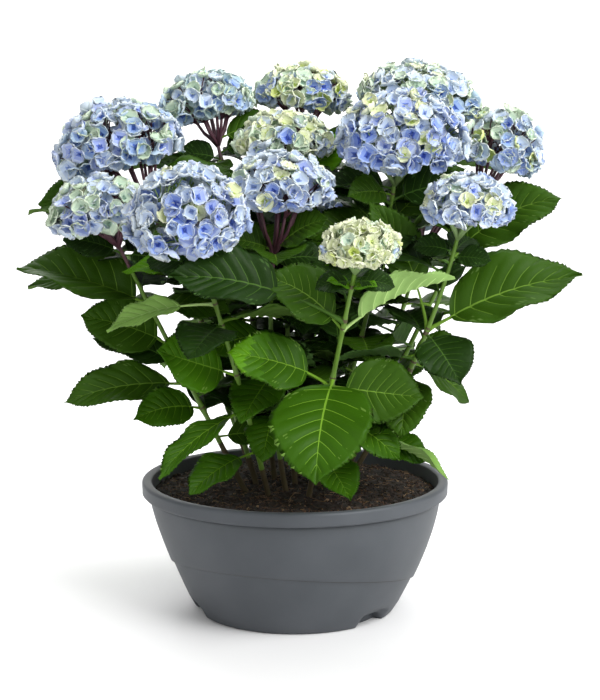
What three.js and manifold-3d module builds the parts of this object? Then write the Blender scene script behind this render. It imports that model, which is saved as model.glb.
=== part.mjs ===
// A mophead hydrangea in its bowl pot: the pot, the peat in it, fifteen shoots, the
// flower head on each shoot and the sprays of leaves round the shoots.
// Millimetres, +Z up. The viewer stands on the -Y side, so +X is to the right. The
// origin is the middle of the pot's flat underside.
import * as THREE from "three";
import Module from "manifold-3d";

const wasm = await Module();
wasm.setup();
const { Manifold, Mesh } = wasm;

// ---- Driving dimensions ------------------------------------------------------

const GAP = 0.8; // air left between two neighbouring solids

const POT = {
  sides: 24,
  height: 159, // ground to the top of the rim
  rimRadius: 184,
  mouthRadius: 172.5,
  skirt: 16, // height of the rim's outer band
  baseRadius: 117, // edge of the flat underside
  footRadius: 123, // outside of the wall just above the ground
  neckRadius: 175, // outside of the wall just under the rim
  neckHeight: 141,
  curve: 1.4, // how early the wall flares out
  fullness: 1.5, // the belly is this much fuller on the right
  wall: 3,
  floor: 5,
  stepHeight: 47.5, // middle height of the slanting step round the bowl
  stepRise: 29.5, // the step climbs this much towards its high side
  stepAzimuth: 249, // where it is highest, front left
  tuck: 2.5, // the bowl is this much narrower under the step
  notches: [78, 198, 318], // middles of the three scallops in the foot
  notchHalf: 11, // half the angle of a scallop
  notchHeight: 12,
  soleInner: 17, // the ring it stands on, measured in from baseRadius
  soleOuter: 10,
  lip: 4, // height of the rim's rounded edge
  floorInset: 24, // the flat floor inside ends this far in from baseRadius
  cornerInset: 16, // and the slope beyond it ends this far in
  cornerHeight: 17,
  throat: 6, // the wall inside is plain from this far under the neck
  insideHeights: [95, 50, 19], // rings down the inside of the wall
};

const PEAT = { top: 146, bumps: 1.6, radii: [140, 70] };

const STEM = { sides: 5, rings: 5, foot: 4.8, tip: 2.8, sunk: 8 };

const BLOOM = { sides: 10, rings: 5, under: 0.42, bumps: 0.03 };

const LEAF = {
  stalk: 0.16, // share of the reach that is stalk
  stalkRadius: 2.6,
  thick: 3.2, // half the thickness at the midrib
  fold: 16, // degrees each half is raised
  arch: 0.07, // rise of the midrib over the straight line, as a share of it
  stations: [0.18, 0.4, 0.7], // where the lens has its sections
};

const CORE = { sides: 5, rings: 3, bumps: 0.2 };

const COLOURS = {
  pot: 0x656a70,
  peat: 0x2e2119,
  stem: 0x5b7a36,
  bloom: 0xa9b9d6,
  leaf: 0x3d6a2c,
};

// ---- The shoots --------------------------------------------------------------
// foot: where the stem leaves the peat. head: middle of the flower head, and size: its
// width, depth and height. bow: how far the middle of the stem stands off the straight
// line from foot to head, in x and y. lean: how far the head's crown tips over, in
// degrees, towards the azimuth that follows. Lengths go in steps of 5 mm.
// Each spray has one or two rows of leaves on one stretch of stem. A leaf is
// [height of its node, azimuth, rise, reach, width, roll]: azimuth 0 points right,
// 90 away from the viewer, 270 to the viewer; rise is the slope of the line from
// node to tip; reach is that line's length; roll turns the blade about the midrib.
// Two more values may follow, for a leaf that is folded or arched more than most:
// how far each half is raised, and the arch as a share of the reach.
// core is the dense middle of the spray, round the stem: from what height, to what
// height, and how thick.

const SHOOTS = {
  left_high: {
    foot: [-45, 15],
    head: [-215, 20, 565],
    bow: [15, 0],
    size: [165, 150, 95],
    lean: [15, 190],
    upper: {
      core: [435, 510, 30],
      leaves: [
        [475, 185, 5, 135, 85, -60],
        [450, 190, 10, 160, 55, -10],
        [495, 5, 15, 110, 70, 35],
        [455, 95, 5, 120, 80, 0],
      ],
    },
    lower: {
      core: [320, 410, 40],
      leaves: [
        [400, 180, -5, 185, 90, -30],
        [345, 100, -5, 125, 80, 0],
      ],
    },
  },
  left_low: {
    foot: [-55, -20],
    head: [-225, -60, 490],
    bow: [0, -5],
    size: [125, 120, 70],
    lean: [10, 215],
    upper: {
      core: [350, 430, 25],
      leaves: [
        [375, 175, 15, 160, 105, -35, 30, 0.05],
        [420, 260, -30, 75, 55, 0],
      ],
    },
    lower: {
      core: [235, 345, 35],
      leaves: [
        [325, 190, 20, 110, 75, -60],
        [300, 195, 20, 110, 60, -50],
        [280, 200, -5, 150, 75, -45, 25, 0.05],
        [250, 225, 0, 105, 60, -60],
      ],
    },
  },
  left_front: {
    foot: [-30, -45],
    head: [-120, -170, 495],
    bow: [5, 0],
    size: [145, 130, 95],
    lean: [25, 260],
    upper: {
      core: [350, 430, 25],
      leaves: [
        [420, 170, 0, 95, 50, -30],
        [415, 345, -10, 90, 65, 40],
        [385, 170, -15, 130, 65, 25, 45],
        [360, 250, -15, 95, 70, -10],
      ],
    },
    lower: {
      core: [190, 325, 35],
      leaves: [
        [300, 210, 20, 105, 85, -60],
        [260, 215, -30, 135, 55, -20, 15, 0.05],
        [205, 220, -20, 105, 50, -20],
      ],
    },
  },
  front_small: {
    foot: [15, -45],
    head: [70, -220, 460],
    bow: [0, 10],
    size: [90, 85, 50],
    lean: [10, 265],
    upper: {
      core: [335, 380, 15],
      leaves: [
        [360, 190, 35, 105, 70, -60],
        [360, 355, 25, 135, 60, -30, 40],
      ],
    },
    lower: {
      core: [190, 320, 30],
      leaves: [
        [290, 205, 20, 135, 85, -60],
        [290, 350, -5, 105, 95, 60],
        [290, 250, -45, 130, 105, 0],
        [255, 330, -25, 105, 65, 30],
        [205, 300, -30, 85, 55, 10],
      ],
    },
  },
  middle_front: {
    foot: [-10, -25],
    head: [-15, -100, 520],
    bow: [-15, 0],
    size: [125, 120, 65],
    lean: [10, 270],
    upper: {
      core: [370, 450, 25],
      leaves: [
        [400, 195, 0, 140, 95, -60],
        [440, 195, 15, 60, 55, -60],
        [440, 340, 30, 75, 60, 45],
      ],
    },
    lower: {
      core: [200, 355, 30],
      leaves: [
        [340, 210, -10, 80, 60, -40],
        [335, 285, -20, 90, 65, 0],
        [290, 250, -20, 105, 65, -10],
        [250, 260, -30, 90, 55, 0],
      ],
    },
  },
  right_front: {
    foot: [50, -20],
    head: [190, -130, 500],
    bow: [20, 0],
    size: [105, 100, 60],
    lean: [10, 285],
    upper: {
      core: [330, 390, 20],
      leaves: [
        [350, 355, 20, 185, 95, 50, 25, 0.1],
        [350, 175, 10, 105, 60, -40],
        [345, 300, -35, 85, 70, 20],
      ],
    },
    lower: {
      core: [195, 320, 30],
      leaves: [
        [310, 30, -35, 95, 60, 50],
        [300, 260, -40, 100, 65, 0],
        [260, 255, -15, 85, 60, 0],
        [215, 325, -20, 110, 50, -20, 45],
        [205, 340, -10, 75, 50, 30],
      ],
    },
  },
  right_high: {
    foot: [25, 10],
    head: [125, -40, 575],
    bow: [10, 5],
    size: [165, 150, 95],
    lean: [15, 270],
    upper: {
      core: [430, 515, 25],
      leaves: [
        [460, 15, 35, 120, 60, 45],
        [460, 195, -5, 95, 60, -45],
        [500, 215, 0, 80, 55, -50],
      ],
    },
    lower: {
      core: [325, 410, 30],
      leaves: [
        [395, 245, 60, 110, 60, -10],
        [395, 340, 50, 120, 55, 10],
        [330, 275, -10, 90, 70, 0],
      ],
    },
  },
  right_outer: {
    foot: [50, 25],
    head: [250, 30, 560],
    bow: [5, 0],
    size: [110, 110, 85],
    lean: [15, 350],
    upper: {
      core: [400, 510, 30],
      leaves: [
        [420, 345, 30, 150, 85, 60, 15, 0.1],
        [500, 180, 5, 80, 50, -20],
      ],
    },
    lower: {
      core: [235, 370, 40],
      leaves: [
        [345, 60, -5, 120, 85, 0],
        [300, 350, 5, 85, 60, 45],
        [260, 90, -10, 100, 75, 0],
      ],
    },
  },
  middle_high: {
    foot: [0, 15],
    head: [-15, 30, 565],
    bow: [0, 0],
    size: [130, 125, 60],
    lean: [5, 270],
    upper: {
      core: [425, 505, 25],
      leaves: [
        [490, 0, 40, 115, 60, 50],
        [490, 180, 20, 80, 50, -40],
        [440, 330, 40, 120, 60, 40],
      ],
    },
  },
  back_left: {
    foot: [-25, 40],
    head: [-110, 130, 610],
    bow: [10, -10],
    size: [125, 120, 70],
    lean: [10, 170],
    upper: {
      core: [470, 565, 25],
      leaves: [
        [560, 5, 10, 85, 50, 45],
        [535, 250, -25, 85, 65, 0],
        [520, 160, 0, 130, 85, 0],
      ],
    },
    lower: {
      core: [320, 430, 40],
      leaves: [
        [410, 115, -5, 140, 90, 0],
        [340, 130, -15, 140, 90, 0],
      ],
    },
  },
  back_middle: {
    foot: [5, 55],
    head: [10, 160, 620],
    bow: [-5, -5],
    size: [130, 125, 65],
    lean: [5, 20],
    upper: {
      core: [465, 570, 25],
      leaves: [
        [555, 335, -5, 85, 55, 30],
        [480, 95, 0, 130, 85, 0],
      ],
    },
    lower: {
      core: [330, 440, 40],
      leaves: [
        [430, 60, -5, 140, 90, 0],
        [380, 120, -10, 135, 90, 0],
      ],
    },
  },
  back_right: {
    foot: [30, 45],
    head: [155, 130, 620],
    bow: [0, -5],
    size: [165, 150, 70],
    lean: [10, 20],
    upper: {
      core: [460, 560, 30],
      leaves: [
        [520, 20, 0, 130, 85, 0],
        [540, 205, 5, 100, 60, -30],
      ],
    },
    lower: {
      core: [310, 425, 40],
      leaves: [
        [410, 45, -5, 140, 90, 0],
        [340, 20, -10, 110, 80, 0],
      ],
    },
  },
  rear_left: {
    foot: [-45, 40],
    head: [-160, 210, 470],
    bow: [-10, 10],
    size: [135, 130, 75],
    lean: [20, 125],
    upper: {
      core: [335, 415, 30],
      leaves: [
        [390, 150, 0, 140, 90, 0],
        [350, 190, -10, 130, 85, 0],
      ],
    },
    lower: {
      core: [215, 320, 35],
      leaves: [
        [290, 120, -15, 140, 90, 0],
      ],
    },
  },
  rear_middle: {
    foot: [0, 80],
    head: [20, 240, 450],
    bow: [0, 10],
    size: [125, 120, 70],
    lean: [20, 90],
    upper: {
      core: [235, 390, 35],
      leaves: [
        [370, 35, -5, 130, 85, 0],
        [370, 130, -5, 135, 90, 0],
        [330, 85, -20, 140, 90, 0],
        [265, 120, -20, 120, 80, 0],
      ],
    },
  },
  rear_right: {
    foot: [50, 50],
    head: [180, 210, 480],
    bow: [10, 10],
    size: [135, 130, 75],
    lean: [20, 55],
    upper: {
      core: [340, 420, 30],
      leaves: [
        [395, 30, 0, 135, 90, 0],
        [350, 5, -10, 110, 80, 0],
      ],
    },
    lower: {
      core: [215, 320, 35],
      leaves: [
        [290, 90, -15, 140, 90, 0],
      ],
    },
  },
};

// ---- Small helpers -----------------------------------------------------------

const radians = THREE.MathUtils.degToRad;
const lerp = THREE.MathUtils.lerp;

// Unit vector at an azimuth and a rise, both in degrees.
function heading(azimuth, rise = 0) {
  const a = radians(azimuth);
  const r = radians(rise);
  return new THREE.Vector3(
    Math.cos(r) * Math.cos(a),
    Math.cos(r) * Math.sin(a),
    Math.sin(r),
  );
}

// Closed skin over rings of points, closed by a first and a last point. The rings
// run anticlockwise round the way they are stacked.
function skin(first, rings, last) {
  const n = rings[0].length;
  const points = [first, ...rings.flat(), last];
  const end = points.length - 1;
  const faces = [];
  for (let j = 0; j < n; j++) {
    const k = (j + 1) % n;
    faces.push(0, 1 + k, 1 + j);
    for (let i = 0; i < rings.length - 1; i++) {
      const a = 1 + i * n;
      const b = a + n;
      faces.push(a + j, a + k, b + k);
      faces.push(a + j, b + k, b + j);
    }
    faces.push(end, end - n + j, end - n + k);
  }
  const flat = new Float32Array(points.flatMap((p) => [p.x, p.y, p.z]));
  return new Manifold(
    new Mesh({ numProp: 3, vertProperties: flat, triVerts: new Uint32Array(faces) }),
  );
}

// One ring round the Z axis: radius and height are functions of the azimuth.
function lap(radius, height, sides = POT.sides) {
  const ring = [];
  for (let j = 0; j < sides; j++) {
    const azimuth = (360 * j) / sides;
    const p = heading(azimuth).multiplyScalar(radius(azimuth));
    p.z = height(azimuth);
    ring.push(p);
  }
  return ring;
}

// The biggest separate piece of a solid, cleaned of slivers as coarsely as its
// neighbours allow.
function mainPiece(solid, neighbours) {
  const pieces = solid.decompose();
  pieces.sort((a, b) => b.volume() - a.volume());
  for (const tolerance of [0.8, 0.5, 0.3, 0.15]) {
    const clean = pieces[0].simplify(tolerance);
    const touch = clean.intersect(neighbours).volume();
    if (touch < 1e-6 && clean.decompose().length === 1) {
      return clean;
    }
  }
  return pieces[0];
}

// ---- The pot and its peat ----------------------------------------------------

// Outside radius of the bowl's upper wall: it flares fast at first, then less.
function bowlRadius(z, azimuth) {
  const t = THREE.MathUtils.clamp(z / POT.neckHeight, 0, 1);
  const flare = 1 - Math.pow(1 - t, POT.curve);
  const side = POT.fullness * Math.cos(radians(azimuth)) * Math.sin(Math.PI * t);
  return lerp(POT.footRadius, POT.neckRadius, flare) + side;
}

// Height of the slanting step: a level plane tipped towards its high side.
function stepLine(azimuth) {
  const turn = Math.cos(radians(azimuth - POT.stepAzimuth));
  return POT.stepHeight + POT.stepRise * turn;
}

// How high the scallops lift the foot's edge at an azimuth.
function scallop(azimuth) {
  const away = POT.notches.map((a) => Math.abs(((azimuth - a + 540) % 360) - 180));
  const t = Math.min(...away) / POT.notchHalf;
  return t < 1 ? POT.notchHeight * Math.sqrt(1 - t * t * t * t) : 0;
}

function buildPot() {
  const lower = (z) => lap((a) => bowlRadius(z(a), a) - POT.tuck, z);
  const upper = (z) => lap((a) => bowlRadius(z(a), a), z);
  const round = (r, z) => lap(() => r, () => z);
  const inner = (z) => lap((a) => bowlRadius(z, a) - POT.tuck - POT.wall, () => z);
  const top = POT.height;
  const rings = [
    round(POT.baseRadius - POT.soleInner, 0),
    round(POT.baseRadius - POT.soleOuter, 0),
    lap(() => POT.baseRadius - POT.soleOuter + 0.5, scallop),
    lap(() => POT.baseRadius, scallop),
    lap(() => POT.footRadius - 3, (a) => Math.max(3, scallop(a) + 0.6)),
    lower((a) => Math.max(8, scallop(a) + 1.6)),
    lower((a) => lerp(14, stepLine(a), 0.5)),
    lower((a) => stepLine(a) - 1),
    upper((a) => stepLine(a) + 0.6),
    upper((a) => lerp(stepLine(a), POT.neckHeight, 0.3)),
    upper((a) => lerp(stepLine(a), POT.neckHeight, 0.65)),
    upper(() => POT.neckHeight),
    round(POT.rimRadius - 1, top - POT.skirt),
    round(POT.rimRadius, top - POT.lip),
    round(POT.rimRadius - POT.lip, top),
    round(POT.mouthRadius + 2.5, top - 0.8),
    round(POT.mouthRadius, top - POT.lip),
    round(POT.mouthRadius - 2, POT.neckHeight - POT.throat),
    ...POT.insideHeights.map(inner),
    round(POT.baseRadius - POT.cornerInset, POT.cornerHeight),
    round(POT.baseRadius - POT.floorInset, POT.floor),
  ];
  const point = (z) => new THREE.Vector3(0, 0, z);
  return skin(point(0), rings, point(POT.floor));
}

// The peat fills the bowl to a little under the rim; lift raises its top only.
function buildPeat(lift = 0) {
  const crumb = (a, r) => {
    const wave = Math.sin(radians(3 * a + 2 * r)) + Math.sin(radians(7 * a - 3 * r));
    return PEAT.top + PEAT.bumps * wave + lift;
  };
  const inner = (z) => lap(
    (a) => bowlRadius(z, a) - POT.tuck - POT.wall - GAP,
    () => z,
  );
  const round = (r, z) => lap(() => r, () => z);
  const [high, middle, low] = POT.insideHeights;
  const rings = [
    round(POT.baseRadius - POT.floorInset - 2 * GAP, POT.floor + GAP),
    round(POT.baseRadius - POT.cornerInset - GAP, POT.cornerHeight + 2 * GAP),
    inner(low + 2 * GAP),
    inner(middle),
    inner(high),
    round(POT.mouthRadius - 2 - GAP, POT.neckHeight - POT.throat),
    round(POT.mouthRadius - 1.5 - GAP, PEAT.top + lift - 1),
    ...PEAT.radii.map((r) => lap(() => r, (a) => crumb(a, r))),
  ];
  const point = (z) => new THREE.Vector3(0, 0, z);
  return skin(point(POT.floor + GAP), rings, point(PEAT.top + lift));
}

// ---- Stems, heads and leaves -------------------------------------------------

// The line a stem follows from inside the peat to the middle of its head. A quadratic
// curve goes halfway to its control point, so that point stands off by twice the bow.
function stemLine(shoot) {
  const foot = new THREE.Vector3(...shoot.foot, PEAT.top - STEM.sunk);
  const head = new THREE.Vector3(...shoot.head);
  const pull = foot.clone().lerp(head, 0.5);
  pull.addScaledVector(new THREE.Vector3(...shoot.bow, 0), 2);
  return new THREE.QuadraticBezierCurve3(foot, pull, head);
}

// One tapering limb along the line, grown by extra all round.
function buildStem(shoot, extra = 0) {
  const line = stemLine(shoot);
  const frames = line.computeFrenetFrames(STEM.rings, false);
  const rings = [];
  for (let i = 0; i <= STEM.rings; i++) {
    const t = i / STEM.rings;
    const middle = line.getPointAt(t);
    const radius = lerp(STEM.foot, STEM.tip, t) + extra;
    const ring = [];
    for (let j = 0; j < STEM.sides; j++) {
      const a = (2 * Math.PI * j) / STEM.sides;
      const out = frames.normals[i].clone().multiplyScalar(Math.cos(a));
      out.addScaledVector(frames.binormals[i], Math.sin(a));
      ring.push(middle.clone().addScaledVector(out, radius));
    }
    rings.push(ring);
  }
  return skin(line.getPointAt(0), rings, line.getPointAt(1));
}

// A flower head: a dome over a shallow underside, uneven as its florets are.
function buildBloom(shoot, seed, extra = 0) {
  const [width, depth, height] = shoot.size;
  const over = height / (1 + BLOOM.under);
  const lift = over * BLOOM.under - height / 2;
  const rings = [];
  for (let i = 1; i < BLOOM.rings; i++) {
    const down = Math.PI * (1 - i / BLOOM.rings);
    const ring = [];
    for (let j = 0; j < BLOOM.sides; j++) {
      const a = (2 * Math.PI * j) / BLOOM.sides;
      const uneven = Math.sin(3 * a + seed) * Math.cos(2 * down + seed)
        + Math.sin(5 * a + 2.3 * seed);
      const swell = 1 + BLOOM.bumps * uneven;
      const tall = Math.cos(down) > 0 ? over : over * BLOOM.under;
      ring.push(new THREE.Vector3(
        (width / 2 * swell + extra) * Math.sin(down) * Math.cos(a),
        (depth / 2 * swell + extra) * Math.sin(down) * Math.sin(a),
        (tall * swell + extra) * Math.cos(down) + lift,
      ));
    }
    rings.push(ring);
  }
  const foot = new THREE.Vector3(0, 0, lift - over * BLOOM.under - extra);
  const crown = new THREE.Vector3(0, 0, lift + over + extra);
  const [tilt, towards] = shoot.lean;
  const axis = heading(towards + 90);
  const middle = new THREE.Vector3(...shoot.head);
  for (const p of [foot, crown, ...rings.flat()]) {
    p.applyAxisAngle(axis, radians(tilt)).add(middle);
  }
  return skin(foot, rings, crown);
}

// Half the blade's width, as a share of its widest, from the stalk to the tip:
// full below the middle, drawn out to a fine point.
function bladeShape(t) {
  const full = Math.pow(t, 0.62) * Math.pow(1 - t, 0.85);
  return full / 0.3675;
}

// The point of the stem line that is at a given height.
function nodeAt(line, height) {
  let low = 0;
  let high = 1;
  for (let i = 0; i < 24; i++) {
    const middle = (low + high) / 2;
    if (line.getPoint(middle).z < height) {
      low = middle;
    } else {
      high = middle;
    }
  }
  return line.getPoint(low);
}

// A leaf as a thin lens with a stalk: arched along its midrib, its halves raised.
// As the cutter of its neighbours it is grown by extra, and most at its sharp rim.
function buildLeaf(line, leaf, extra = 0) {
  const [height, azimuth, rise, reach, width, roll] = leaf;
  const [fold = LEAF.fold, arch = LEAF.arch] = leaf.slice(6);
  const start = nodeAt(line, height);
  const along = heading(azimuth, rise);
  const side = heading(azimuth + 90).applyAxisAngle(along, radians(roll));
  const up = new THREE.Vector3().crossVectors(along, side);
  const lift = new THREE.Vector3().crossVectors(along, heading(azimuth + 90));
  const out = Math.cos(radians(fold));
  const raised = Math.sin(radians(fold));
  const rings = LEAF.stations.map((t) => {
    const on = Math.max(0, (t - LEAF.stalk) / (1 - LEAF.stalk));
    const half = Math.max(LEAF.stalkRadius, (width / 2) * bladeShape(on)) + 3 * extra;
    const thick = LEAF.thick * (1 - 0.5 * on) + extra;
    const middle = start.clone().addScaledVector(along, reach * t);
    middle.addScaledVector(lift, 4 * arch * reach * t * (1 - t));
    const edge = middle.clone().addScaledVector(up, raised * (half - LEAF.stalkRadius));
    return [
      edge.clone().addScaledVector(side, half * out),
      middle.clone().addScaledVector(up, thick),
      edge.clone().addScaledVector(side, -half * out),
      middle.clone().addScaledVector(up, -thick),
    ];
  });
  const tip = start.clone().addScaledVector(along, reach);
  const last = rings[rings.length - 1];
  const point = tip.clone().sub(last[1].clone().lerp(last[3], 0.5)).normalize();
  return skin(start, rings, tip.addScaledVector(point, 4 * extra));
}

// The dense middle of a spray: an uneven spindle round a stretch of the stem.
function buildCore(line, core, seed, extra = 0) {
  const [from, to, across] = core;
  const rings = [];
  for (let i = 1; i < CORE.rings; i++) {
    const t = i / CORE.rings;
    const middle = nodeAt(line, lerp(from, to, t));
    const full = across * Math.pow(Math.sin(Math.PI * t), 0.6);
    const ring = [];
    for (let j = 0; j < CORE.sides; j++) {
      const a = (2 * Math.PI * j) / CORE.sides;
      const uneven = Math.sin(2 * a + seed) + Math.cos(3 * a - 2 * seed + 4 * t);
      const radius = full * (1 + (CORE.bumps * uneven) / 2) + extra;
      ring.push(middle.clone().addScaledVector(heading(THREE.MathUtils.radToDeg(a)), radius));
    }
    rings.push(ring);
  }
  const pole = (height, dz) => nodeAt(line, height).add(new THREE.Vector3(0, 0, dz));
  return skin(pole(from, -extra), rings, pole(to, extra));
}

// A spray of leaves: its core joined with its leaves.
function buildSpray(line, spray, seed, extra = 0) {
  const leaves = spray.leaves.map((leaf) => buildLeaf(line, leaf, extra));
  return Manifold.union([buildCore(line, spray.core, seed, extra), ...leaves]);
}

// ---- The scene ---------------------------------------------------------------

const hydrangea = new THREE.Group();
hydrangea.name = "potted_hydrangea";

function addMesh(name, solid, colour, roughness) {
  const made = solid.getMesh();
  const geometry = new THREE.BufferGeometry();
  geometry.setAttribute("position", new THREE.BufferAttribute(made.vertProperties, 3));
  geometry.setIndex(new THREE.BufferAttribute(made.triVerts, 1));
  geometry.computeVertexNormals();
  const material = new THREE.MeshStandardMaterial({ color: colour, roughness });
  material.flatShading = true;
  material.metalness = 0;
  const mesh = new THREE.Mesh(geometry, material);
  mesh.name = name;
  hydrangea.add(mesh);
}

const names = Object.keys(SHOOTS);

const peat = buildPeat();
addMesh("pot", buildPot(), COLOURS.pot, 0.5);
addMesh("peat", peat, COLOURS.peat, 0.95);

// What has been placed so far, and the same grown by the gap, to cut the next with.
let placed = peat;
let cutter = buildPeat(GAP);

// Cuts a solid clear of what is placed, places it and returns it.
function place(build) {
  const solid = mainPiece(build(0).subtract(cutter), placed);
  placed = placed.add(solid);
  return solid;
}

// Heads come first and are cut back only where two of them crowd each other.
names.forEach((name, i) => {
  const build = (extra) => buildBloom(SHOOTS[name], i + 1, extra);
  addMesh("bloom_" + name, place(build), COLOURS.bloom, 0.8);
  cutter = cutter.add(build(GAP));
});

// Stems end at the peat below and where they enter their head above.
names.forEach((name) => {
  const build = (extra) => buildStem(SHOOTS[name], extra);
  addMesh("stem_" + name, place(build), COLOURS.stem, 0.6);
});
const stems = names.map((name) => buildStem(SHOOTS[name], GAP));
cutter = Manifold.union([cutter, ...stems]);

// Leaves are cut round the stems, the heads and the sprays before them.
["upper", "lower"].forEach((level) => {
  names.forEach((name, i) => {
    const spray = SHOOTS[name][level];
    if (!spray) {
      return;
    }
    const line = stemLine(SHOOTS[name]);
    const build = (extra) => buildSpray(line, spray, i + 1, extra);
    addMesh("spray_" + name + "_" + level, place(build), COLOURS.leaf, 0.6);
    cutter = cutter.add(build(GAP));
  });
});

export default hydrangea;
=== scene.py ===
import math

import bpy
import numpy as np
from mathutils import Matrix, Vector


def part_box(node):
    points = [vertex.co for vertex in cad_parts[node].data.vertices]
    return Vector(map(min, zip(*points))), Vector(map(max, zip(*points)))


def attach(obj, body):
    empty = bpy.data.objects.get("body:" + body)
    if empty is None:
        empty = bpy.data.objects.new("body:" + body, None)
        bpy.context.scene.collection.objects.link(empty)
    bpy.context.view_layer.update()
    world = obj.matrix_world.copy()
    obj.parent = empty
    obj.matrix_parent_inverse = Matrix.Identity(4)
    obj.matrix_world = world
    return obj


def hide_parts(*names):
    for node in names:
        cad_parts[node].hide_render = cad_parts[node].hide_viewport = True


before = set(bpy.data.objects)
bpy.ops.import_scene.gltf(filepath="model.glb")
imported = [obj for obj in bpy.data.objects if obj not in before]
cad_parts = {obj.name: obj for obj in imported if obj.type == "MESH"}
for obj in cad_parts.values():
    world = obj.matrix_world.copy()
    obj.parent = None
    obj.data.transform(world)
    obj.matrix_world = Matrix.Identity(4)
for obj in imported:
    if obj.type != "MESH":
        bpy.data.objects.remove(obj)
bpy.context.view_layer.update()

# %% [markdown]
# # A mophead hydrangea in a bowl pot
# The frame that has just been loaded holds the plant's plain solids: the pot, the peat,
# fifteen stems, a dome for each flower head and a rough mass for each spray of leaves.
# This file dresses them. Stems, leaves and florets are worked out with numpy as whole
# arrays and put into a few joined meshes, because a plant has too many small parts for
# an object each.

# %% [markdown]
# ## Putting arrays into Blender
# A mesh is a list of points and a list of faces. Small parts are collected in a Batch,
# which stacks their arrays and remembers which material each face takes. The batch is
# written into one mesh at the end with foreach_set, which takes a whole array at once.

# %% A batch of small parts
class Batch:
    """Points and faces of many parts that become one mesh with several materials."""

    def __init__(self):
        self.points = []
        self.faces = {3: [], 4: []}
        self.marks = {3: [], 4: []}
        self.count = 0

    def add(self, faces, marks):
        """Adds faces (m, 3 or 4) and each face's material number. They count from the
        first of the points that are placed next."""
        sides = faces.shape[1]
        self.faces[sides].append(faces + self.count)
        self.marks[sides].append(np.broadcast_to(marks, len(faces)))

    def place(self, points):
        """Adds the points (n, 3) of the faces that were added since the last call."""
        self.points.append(points)
        self.count += len(points)


def make_piece(name, batch, materials, smooth=True):
    """One mesh object from a batch, riding on the plant's only body."""
    points = np.concatenate(batch.points)
    corners, sizes, marks = [], [], []
    for sides in (3, 4):
        if batch.faces[sides]:
            faces = np.concatenate(batch.faces[sides])
            corners.append(faces.ravel())
            sizes.append(np.full(len(faces), sides))
            marks.append(np.concatenate(batch.marks[sides]))
    corners, sizes, marks = map(np.concatenate, (corners, sizes, marks))
    mesh = bpy.data.meshes.new(name)
    mesh.vertices.add(len(points))
    mesh.vertices.foreach_set("co", points.astype(np.float32).ravel())
    mesh.loops.add(len(corners))
    mesh.loops.foreach_set("vertex_index", corners.astype(np.int32))
    mesh.polygons.add(len(sizes))
    starts = np.concatenate([[0], np.cumsum(sizes)[:-1]])
    mesh.polygons.foreach_set("loop_start", starts.astype(np.int32))
    mesh.polygons.foreach_set("loop_total", sizes.astype(np.int32))
    mesh.polygons.foreach_set("material_index", marks.astype(np.int32))
    mesh.polygons.foreach_set("use_smooth", np.full(len(sizes), smooth))
    for material in materials:
        mesh.materials.append(material)
    mesh.update(calc_edges=True)
    mesh.validate()
    piece = bpy.data.objects.new(name, mesh)
    bpy.context.scene.collection.objects.link(piece)
    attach(piece, "root")
    print(name, len(points), "points,", int((sizes - 2).sum()), "triangles")
    return piece


# %% Grids and tubes
def grid_faces(rows, columns, wrap=False):
    """Quads between the rows of a grid; with wrap the last column meets the first."""
    across = columns if wrap else columns - 1
    i, j = np.meshgrid(np.arange(rows - 1), np.arange(across), indexing="ij")
    here = i * columns + j
    there = i * columns + (j + 1) % columns
    return np.stack([here, there, there + columns, here + columns], -1).reshape(-1, 4)


def lid_faces(around, count):
    """Triangles that close the first and the last of the rings that count points make,
    with the two middle points that follow them."""
    first = np.arange(around)
    after = (first + 1) % around
    last = count - around
    return np.concatenate([
        np.stack([np.full(around, count), after, first], -1),
        np.stack([np.full(around, count + 1), last + first, last + after], -1),
    ])


def unit(vectors):
    """Vectors of length one in the same directions."""
    return vectors / np.linalg.norm(vectors, axis=-1, keepdims=True)


def add_tube(batch, path, radius, mark, sides=8):
    """A tube along a path: P(s, a) = path(s) + radius(s, a) * (cos a * N + sin a * B),
    with N and B square to the path's direction at s, and a point at each end.
    radius is one number, one for each s, or a grid of one for each s and a."""
    along = unit(np.gradient(path, axis=0))
    spread = np.abs(along).sum(axis=0)
    level = np.zeros(3)
    level[np.argmin(spread)] = 1
    normal = unit(np.cross(along, level))
    other = np.cross(along, normal)
    turn = np.linspace(0, 2 * np.pi, sides, endpoint=False)
    round_it = (np.cos(turn)[None, :, None] * normal[:, None]
                + np.sin(turn)[None, :, None] * other[:, None])
    radius = np.asarray(radius, dtype=float)
    if radius.ndim < 2:
        radius = np.broadcast_to(radius.reshape(-1, 1), (len(path), sides))
    skin = path[:, None] + radius[:, :, None] * round_it
    points = np.concatenate([skin.reshape(-1, 3), path[:1], path[-1:]])
    mark = np.asarray(mark)
    marks = mark if mark.ndim == 0 else np.repeat(mark[:len(path) - 1], sides)
    batch.add(grid_faces(len(path), sides, wrap=True), marks)
    batch.add(lid_faces(sides, len(path) * sides), mark if mark.ndim == 0 else mark[0])
    batch.place(points)


# %% Directions and turns
def heading(azimuth, rise=0.0):
    """Unit vector at an azimuth (0 right, 90 away) and a rise, both in degrees."""
    a, r = math.radians(azimuth), math.radians(rise)
    return np.array([math.cos(r) * math.cos(a), math.cos(r) * math.sin(a), math.sin(r)])


def turned(vectors, axis, angle):
    """Vectors turned about a unit axis: v cos + (axis x v) sin + axis (axis.v)(1 - cos)."""
    c, s = math.cos(angle), math.sin(angle)
    along = (vectors @ axis)[..., None] * axis
    return vectors * c + np.cross(axis, vectors) * s + along * (1 - c)


# %% [markdown]
# ## Colours and finishes
# Colours are written as the 0 to 255 numbers of a colour chart. Blender's shaders work
# with light, so each number goes through the display curve first. Every finish is one
# Principled shader, and its grain comes from a noise that is read in the object's own
# coordinates, so that it stays put on the piece from every side.

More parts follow.
